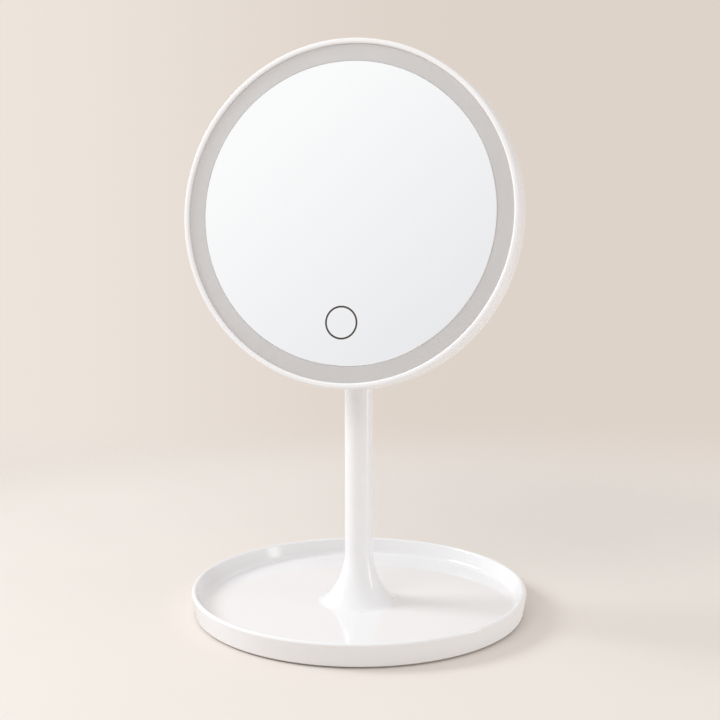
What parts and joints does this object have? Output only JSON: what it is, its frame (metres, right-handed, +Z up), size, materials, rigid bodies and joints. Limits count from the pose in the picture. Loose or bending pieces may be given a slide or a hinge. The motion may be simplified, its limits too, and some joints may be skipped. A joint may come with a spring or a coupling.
{
  "type": "lighted table mirror",
  "caption": "Round lit mirror that tilts on a friction hinge, on a slim stem rising from a round tray base.",
  "frame": {"origin": "centre of the foot ring, on the surface that the mirror stands on", "axes": "+Z up along the stem, the mirror faces -Y, +X to the right of someone looking into it"},
  "size_m": [0.202, 0.202, 0.3391],
  "materials": {
    "white_gloss": "glossy moulded white",
    "white_paint": "white paint on a die casting",
    "opal_diffuser": "opal, light off",
    "silvered_glass": "silvered float glass",
    "dark_print": "dark printed ring",
    "white_matte": "matte white moulding",
    "steel": "zinc plated",
    "brass": "turned",
    "rubber_foot": "soft black",
    "nylon": "grey nylon",
    "white_board": "white solder mask",
    "green_board": "green solder mask",
    "led_lens": "phosphor",
    "black_moulding": "black moulding",
    "ivory_moulding": "ivory moulding",
    "clear_pipe": "clear moulding",
    "pouch_foil": "laminated foil",
    "foam_tape": "foam tape",
    "lead_jacket": "red jacket"
  },
  "bodies": {
    "stand": {"tray": "white_gloss", "base_weight": "steel", "weight_screws": "steel", "foot_ring": "rubber_foot", "stem_washer": "steel", "stem_bolt": "steel", "stem_insert": "brass", "stem_core": "steel", "stem_sleeve": "white_gloss", "stem_knuckle": "white_paint", "lock_screw": "steel"},
    "head": {"hinge_bracket": "white_paint", "bracket_screws": "steel", "hinge_bolt": "steel", "hinge_nut": "steel", "hinge_spring_washer": "steel", "friction_washers": "nylon", "hinge_caps": "white_gloss", "rear_shell": "white_gloss", "front_bezel": "white_gloss", "diffuser_ring": "opal_diffuser", "mirror_glass": "silvered_glass", "touch_mark": "dark_print", "mirror_tape": "foam_tape", "mirror_carrier": "white_matte", "carrier_screws": "steel", "led_board": "white_board", "leds": "led_lens", "touch_board": "green_board", "main_board": "green_board", "board_screws": "steel", "board_components": "black_moulding", "board_connectors": "ivory_moulding", "usb_shell": "steel", "usb_tongue": "black_moulding", "light_pipe": "clear_pipe", "battery": "pouch_foil", "battery_tape": "foam_tape", "battery_leads": "lead_jacket", "led_leads": "lead_jacket", "touch_leads": "lead_jacket"}
  },
  "joints": [
    {"name": "head_tilt", "type": "hinge", "parent": "stand", "child": "head", "pos_m": [0, 0, 0.1748], "axis": [-1, 0, 0], "range_deg": [-17, 80]}
  ]
}
